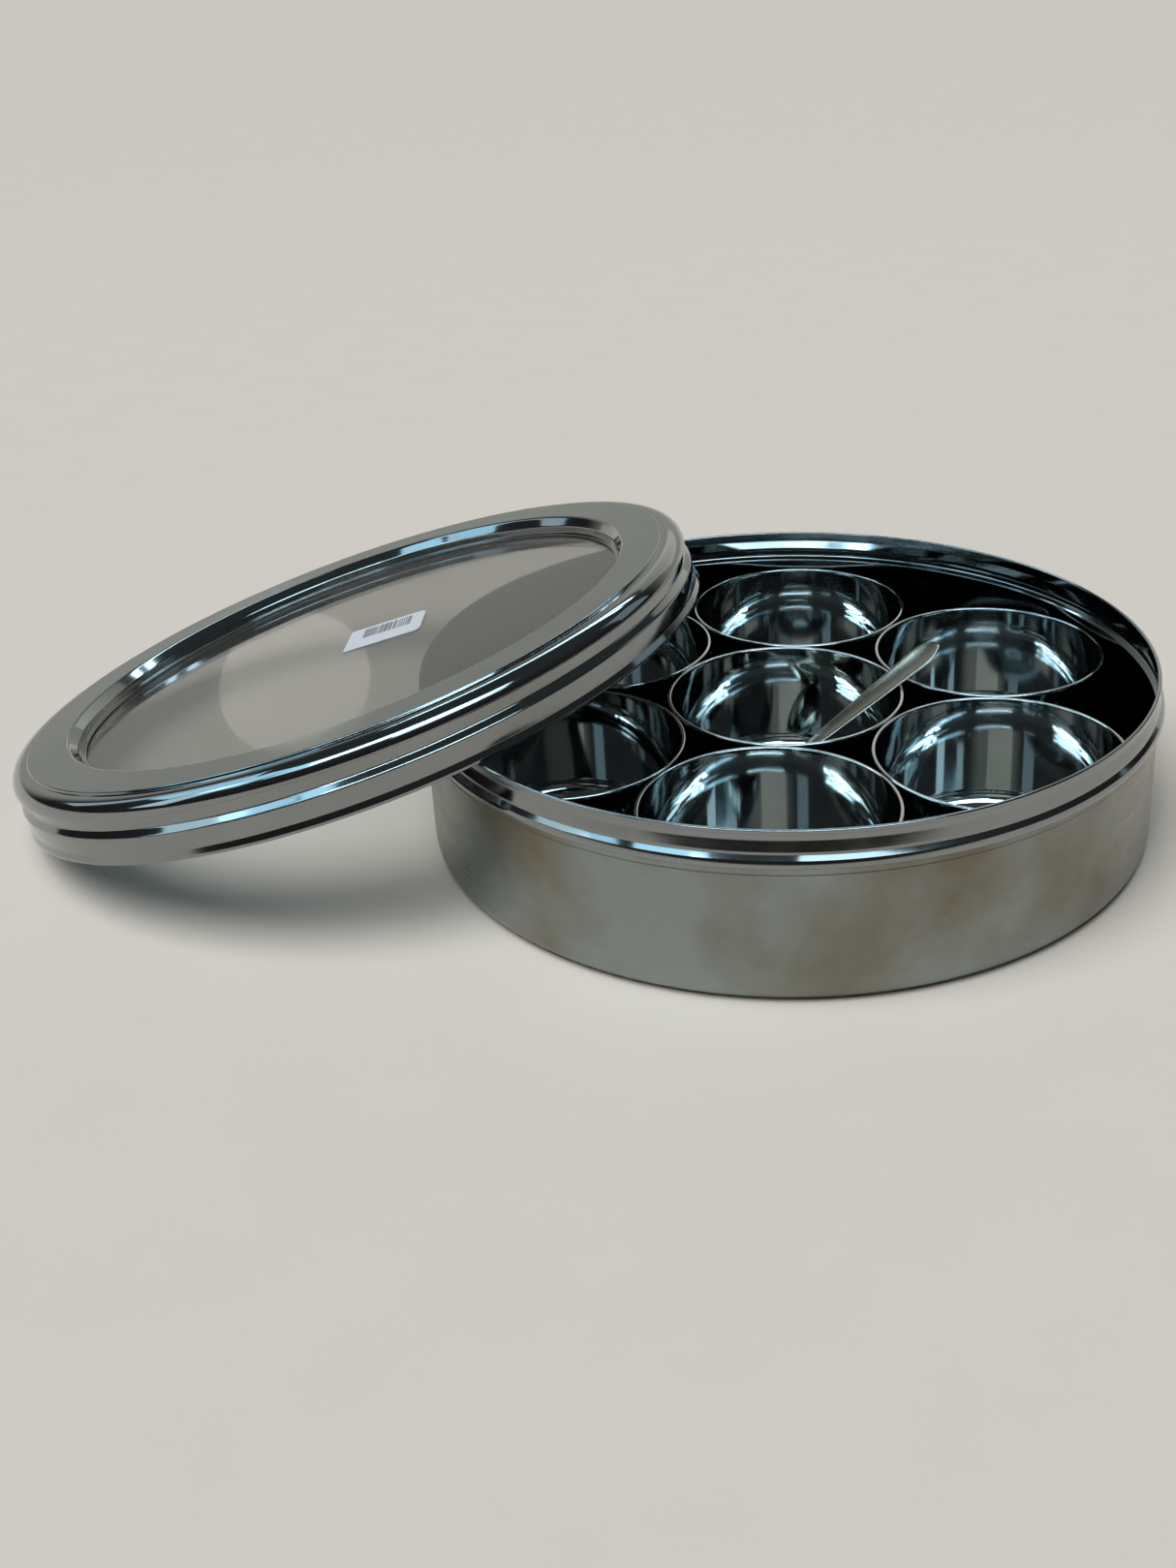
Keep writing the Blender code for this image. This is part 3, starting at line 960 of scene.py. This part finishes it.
@dataclass
class Spoon:
    """The small spoon that leans in the middle bowl: a pressed scoop and a widening handle."""

    foot: tuple[float, float, float] = (-22.1, -17.05, 2.3)
    rest: tuple[float, float, float] = (35.66, 7.77, 40.4)
    length: float = 91.0
    thickness: float = 0.8
    scoop_centre: float = 13.0
    scoop_half_width: float = 10.5
    scoop_depth: float = 4.6
    neck: float = 1.4
    wide: float = 5.5
    tip: float = 8.0
    crown: float = 0.35                # hollow of the handle's face
    handle_start: float = 1.5          # where the handle starts to widen, in scoop centres
    hollow_start: float = 2.2          # where its hollow starts, in scoop centres
    crowding: float = 0.7              # power that draws the points close at the edges
    edge_power: int = 10               # how late the sheet thins towards its edge
    thin_share: float = 1.6            # most of the half width that the thickness may be
    grain_length: float = 60.0         # mm across the spoon for a full turn of the finish
    stations: int = 150
    around: int = 56

    def half_width(self, along: Array) -> Array:
        """Give half the width at each distance along the spoon.

        The scoop is an ellipse from the foot to twice its centre, the handle widens evenly and
        ends in an ellipse, and the two run into each other as the fourth root of the sum of
        their fourth powers.

        Args:
            along: distances from the foot, mm.

        Returns:
            Half widths, mm.
        """
        reach = (along - self.scoop_centre) / self.scoop_centre
        scoop = self.scoop_half_width * np.sqrt(np.clip(1.0 - reach ** 2, 0.0, None))
        start, end = self.handle_start * self.scoop_centre, self.length - self.tip
        share = np.clip((along - start) / (end - start), 0.0, 1.0)
        over = np.clip((along - end) / self.tip, 0.0, 1.0)
        handle = (self.neck + (self.wide - self.neck) * share) * np.sqrt(1.0 - over ** 2)
        handle = np.where(along > start, handle, 0.0)
        return (scoop ** 4 + handle ** 4) ** 0.25

    def surface(self) -> Surface:
        """Skin the spoon.

        At the distance s along the spoon, the angle a goes once round its section.  The place
        across is the half width times c, where c is cos a to the power `crowding` with its
        sign kept, so that points crowd at the edges.  The middle of the sheet lies below the
        spoon's axis by the scoop's paraboloid and the handle's hollow, both of which fade to
        the edges as 1 - c ** 2.  The two faces lie half the thickness above and below it,
        times the root of 1 - |c| ** `edge_power`.

        Returns:
            The closed surface, its two ends single points.
        """
        ease = (1.0 - np.cos(np.pi * np.linspace(0.0, 1.0, self.stations + 2))) / 2.0
        even = np.linspace(0.0, 1.0, self.stations + 2)
        along = self.length * (0.5 * ease + 0.5 * even)
        angle = np.linspace(0.0, 2.0 * np.pi, self.around, endpoint=False)
        across = np.sign(np.cos(angle)) * np.abs(np.cos(angle)) ** self.crowding
        upward = np.sign(np.sin(angle)) * np.sqrt(
            np.clip(1.0 - np.abs(across) ** self.edge_power, 0.0, 1.0))
        run = along[1:-1, None]
        width = self.half_width(along)[1:-1, None]
        reach = (run - self.scoop_centre) / self.scoop_centre
        dish = self.scoop_depth * np.clip(1.0 - reach ** 2, 0.0, None) * (1.0 - across ** 2)
        grip = np.clip(run / self.scoop_centre - self.hollow_start, 0.0, 1.0)
        hollow = self.crown * grip * (1.0 - across ** 2) * (width / self.wide)
        sheet = np.minimum(self.thickness, self.thin_share * width) / 2.0
        grid = np.stack([np.broadcast_to(run, dish.shape), width * across,
                         sheet * upward - dish - hollow], axis=-1)
        foot, axes = self.frame()
        ends = np.array([(along[0], 0.0, 0.0), (along[-1], 0.0, 0.0)])
        quads, fans = skin(*grid.shape[:2], poles=True)
        points = np.concatenate([grid.reshape(-1, 3), ends])
        lines = np.stack([points[:, 1] / self.grain_length, points[:, 0] * MM], axis=-1)
        return Surface(points @ axes + foot, quads, fans, lines[quads], lines[fans])

    def frame(self) -> tuple[Array, Array]:
        """Find how the spoon leans.

        Returns:
            Its foot, and the unit rows along it, across it and up out of its face.
        """
        foot = np.array(self.foot)
        along = np.array(self.rest) - foot
        along /= np.linalg.norm(along)
        across = np.cross((0.0, 0.0, 1.0), along)
        across /= np.linalg.norm(across)
        return foot, np.array([along, across, np.cross(along, across)])

    def build(self, steel: bpy.types.Material) -> None:
        """Make the spoon where its node leans.

        Args:
            steel: its finish.
        """
        spoon = piece_from("spoon_pressed", self.surface(), Placement(), [steel])
        install(spoon, "spoon", "spoon")


# ---------------------------------------------------------------- studio


@dataclass
class Lamp:
    """One flat soft lamp that points at the box and shows as a shape in the polished steel.

    It is out of the camera's direct view and lights no matt surface.
    """

    name: str
    place: tuple[float, float, float]      # metres
    size: tuple[float, float]
    radiance: float                        # watts per square metre and steradian
    colour: Colour = (0.62, 0.86, 1.0)
    shape: LampShape = LampShape.PANEL

    def hang(self, target: Array) -> None:
        """Hang the lamp so that it faces the target.

        Args:
            target: the point that the lamp faces, metres.
        """
        lamp = bpy.data.lights.new(self.name, "AREA")
        lamp.shape = self.shape.value
        lamp.size, lamp.size_y = self.size
        lamp.energy = self.radiance * np.pi * self.size[0] * self.size[1]
        lamp.color = self.colour
        item = bpy.data.objects.new(self.name, lamp)
        ahead = target - np.array(self.place)
        ahead /= np.linalg.norm(ahead)
        item.matrix_world = look_matrix(np.array(self.place), ahead)
        item.visible_camera = False
        item.visible_diffuse = False
        item.visible_transmission = False
        bpy.context.scene.collection.objects.link(item)


def bearing_place(bearing: float, elevation: float) -> tuple[float, float, float]:
    """Find the place at LAMP_DISTANCE that the box sees at a bearing and an elevation.

    Args:
        bearing: degrees from +Y towards +X.
        elevation: degrees above the floor.

    Returns:
        The place in metres.
    """
    level = LAMP_DISTANCE * np.cos(np.radians(elevation))
    turn = np.radians(bearing)
    return (float(level * np.sin(turn)), float(level * np.cos(turn)),
            float(LAMP_DISTANCE * np.sin(np.radians(elevation))))


def look_matrix(place: Array, ahead: Array, roll: float = 0.0) -> Matrix:
    """Build the placement of a camera or lamp that looks ahead.

    Args:
        place: where it stands, metres.
        ahead: unit direction of its view, its own -Z.
        roll: turn about that direction, radians, lifting its right side.

    Returns:
        The 4 x 4 placement.
    """
    level = np.cross(ahead, (0.0, 0.0, 1.0))
    level /= np.linalg.norm(level)
    above = np.cross(level, ahead)
    right = np.cos(roll) * level + np.sin(roll) * above
    up = -np.sin(roll) * level + np.cos(roll) * above
    matrix = np.eye(4)
    matrix[:3, 0], matrix[:3, 1], matrix[:3, 2], matrix[:3, 3] = right, up, -ahead, place
    return Matrix(matrix.tolist())


@dataclass
class Studio:
    """Pale floor, even surroundings, soft lamps and the camera."""

    floor_size: float = 60.0
    floor_drop: float = 0.0002             # below the box's underside, metres
    floor_colour: Colour = (0.83, 0.80, 0.755)
    floor_fleck: float = 0.985             # of the floor's colour, where it is darkest
    floor_roughness: float = 0.8
    floor_gloss: float = 0.15
    horizon_back: Colour = (0.42, 0.43, 0.395)
    horizon_front: Colour = (0.03, 0.028, 0.03)
    zenith: Colour = (0.050, 0.061, 0.064)
    overhead_span: tuple[float, float] = (0.12, 0.85)  # height where zenith starts, is full
    back_span: tuple[float, float] = (0.55, 0.82)      # depth where the back starts, is full
    backdrop: Colour = (0.62, 0.595, 0.545)
    key_strength: float = 2.35             # watts per square metre
    key_spread: float = 50.0               # degrees
    key_colour: Colour = (1.0, 0.98, 0.95)
    key_place: tuple[float, float, float] = (0.0, 0.0, 2.0)
    key_way: tuple[float, float, float] = (0.25, 0.35, -1.0)
    beige: Colour = (1.0, 0.95, 0.87)
    cyan: Colour = (0.44, 0.78, 1.0)
    camera_place: tuple[float, float, float] = (-0.0044, -0.4902, 0.2647)
    camera_heading: float = -4.28          # right of +Y, degrees
    camera_dip: float = 23.45
    camera_roll: float = -2.53
    camera_lens: float = 38.53
    camera_shift: tuple[float, float] = (-0.0432, -0.0803)

    def lay_floor(self) -> None:
        """Lay the plain pale floor just under the box."""
        half, drop = self.floor_size / 2.0, -self.floor_drop
        mesh = bpy.data.meshes.new("floor")
        mesh.from_pydata([(-half, -half, drop), (half, -half, drop), (half, half, drop),
                          (-half, half, drop)], [], [(0, 1, 2, 3)])
        shade = Shading("pale_floor")
        fleck = shade.noise(shade.solid, 30.0, detail=3.0)
        tone = shade.blend(shade.spread(fleck, (0.3, 0.7), (0.0, 1.0)), self.floor_colour,
                           tuple(self.floor_fleck * part for part in self.floor_colour))
        shade.feed(Base_Color=tone, Roughness=self.floor_roughness,
                   Specular_IOR_Level=self.floor_gloss)
        mesh.materials.append(shade.material)
        floor = bpy.data.objects.new("floor", mesh)
        bpy.context.scene.collection.objects.link(floor)

    def surround(self) -> None:
        """Set the light of the room, pale at the back horizon and dim overhead and in front.

        Seen directly it is a plain pale backdrop that carries on the floor.
        """
        world = bpy.data.worlds.new("room")
        world.use_nodes = True
        room = Nodes(world.node_tree)
        _, depth, height = room.split(room.place.outputs["Generated"])
        back = room.spread(depth, self.back_span, (0.0, 1.0), smooth=True)
        overhead = room.spread(height, self.overhead_span, (0.0, 1.0), smooth=True)
        horizon = room.blend(back, self.horizon_front, self.horizon_back)
        glow, plain = room.tree.nodes["Background"], room.add("ShaderNodeBackground")
        room.join(room.blend(overhead, horizon, self.zenith), glow.inputs["Color"])
        room.join((*self.backdrop, 1.0), plain.inputs["Color"])
        room.either("Is Camera Ray", glow.outputs[0], plain.outputs[0],
                    room.tree.nodes["World Output"].inputs["Surface"])
        bpy.context.scene.world = world

    def light(self) -> None:
        """Hang the lamps round the box.

        The broad key lights the floor and the paper; the other lamps show only in the steel
        and the window.
        """
        low, high = CAD_BOX
        target = (np.array(low) + np.array(high)) / 2.0
        sun = bpy.data.lights.new("soft_key", "SUN")
        sun.energy, sun.angle = self.key_strength, np.radians(self.key_spread)
        sun.color = self.key_colour
        item = bpy.data.objects.new("soft_key", sun)
        down = np.array(self.key_way)
        item.matrix_world = look_matrix(np.array(self.key_place), down / np.linalg.norm(down))
        item.visible_glossy = False
        item.visible_transmission = False
        bpy.context.scene.collection.objects.link(item)
        tubes = [Lamp(f"tube_front_{row}", (0.05, -0.70 - 0.19 * row, 1.25), (1.5, 0.085), 11.0)
                 for row in range(3)]
        tubes += [Lamp(f"tube_back_{row}", (-0.1, 0.80 + 0.20 * row, 1.20), (1.3, 0.08), 8.0)
                  for row in range(2)]
        cards = [Lamp(name, bearing_place(bearing, elevation), size, radiance, *colour)
                 for name, bearing, elevation, size, radiance, *colour in (
                     ("panel_front_left", 217.0, 46.0, (0.50, 0.46), 2.9, self.cyan),
                     ("panel_left", 244.0, 43.0, (0.50, 0.52), 2.4, self.cyan),
                     ("panel_far_left", 273.0, 40.0, (0.58, 0.52), 2.1, self.cyan),
                     ("panel_front_right", 153.0, 46.0, (1.00, 0.30), 3.6),
                     ("card_back", 10.0, 28.0, (1.20, 0.80), 0.36, self.beige),
                     ("strip_left", -68.0, 28.0, (0.32, 0.80), 1.0),
                     ("strip_far_left", -110.0, 28.0, (0.40, 0.80), 1.7),
                     ("strip_right", 65.0, 28.0, (0.50, 0.80), 0.45))]
        disc = Lamp("round_back", (-0.787, 1.356, 0.207), (0.185, 0.165), 0.30, self.beige,
                    LampShape.DISC)
        for lamp in (*tubes, *cards, disc):
            lamp.hang(target)

    def set_camera(self) -> None:
        """Set the camera by its place, heading, dip and roll."""
        heading, dip = np.radians(self.camera_heading), np.radians(self.camera_dip)
        ahead = np.array([np.sin(heading) * np.cos(dip), np.cos(heading) * np.cos(dip),
                          -np.sin(dip)])
        data = bpy.data.cameras.new("camera")
        data.lens = self.camera_lens
        data.shift_x, data.shift_y = self.camera_shift
        camera = bpy.data.objects.new("camera", data)
        camera.matrix_world = look_matrix(np.array(self.camera_place), ahead,
                                          np.radians(self.camera_roll))
        bpy.context.scene.collection.objects.link(camera)
        bpy.context.scene.camera = camera
        bpy.context.scene.view_settings.view_transform = "Standard"

    def build(self) -> None:
        """Set up floor, room, lamps and camera."""
        self.lay_floor()
        self.surround()
        self.light()
        self.set_camera()


def main() -> None:
    """Build every piece of the box and the studio round it."""
    logging.basicConfig(level=logging.INFO, format="%(message)s")
    Studio().build()
    mirror = MIRROR.material()
    Drum().build(SATIN.material(), mirror)
    bowl, bowl_mirror = Bowl(), BOWL_MIRROR.material()
    for body in sorted(name for name in frame["bodies"] if name.startswith("bowl_")):
        bowl.build(body, bowl_mirror)
    Lid().build(mirror, WindowPlastic().material(), PricePaper().material())
    Spoon().build(SPOON_STEEL.material())


if __name__ == "__main__":
    main()
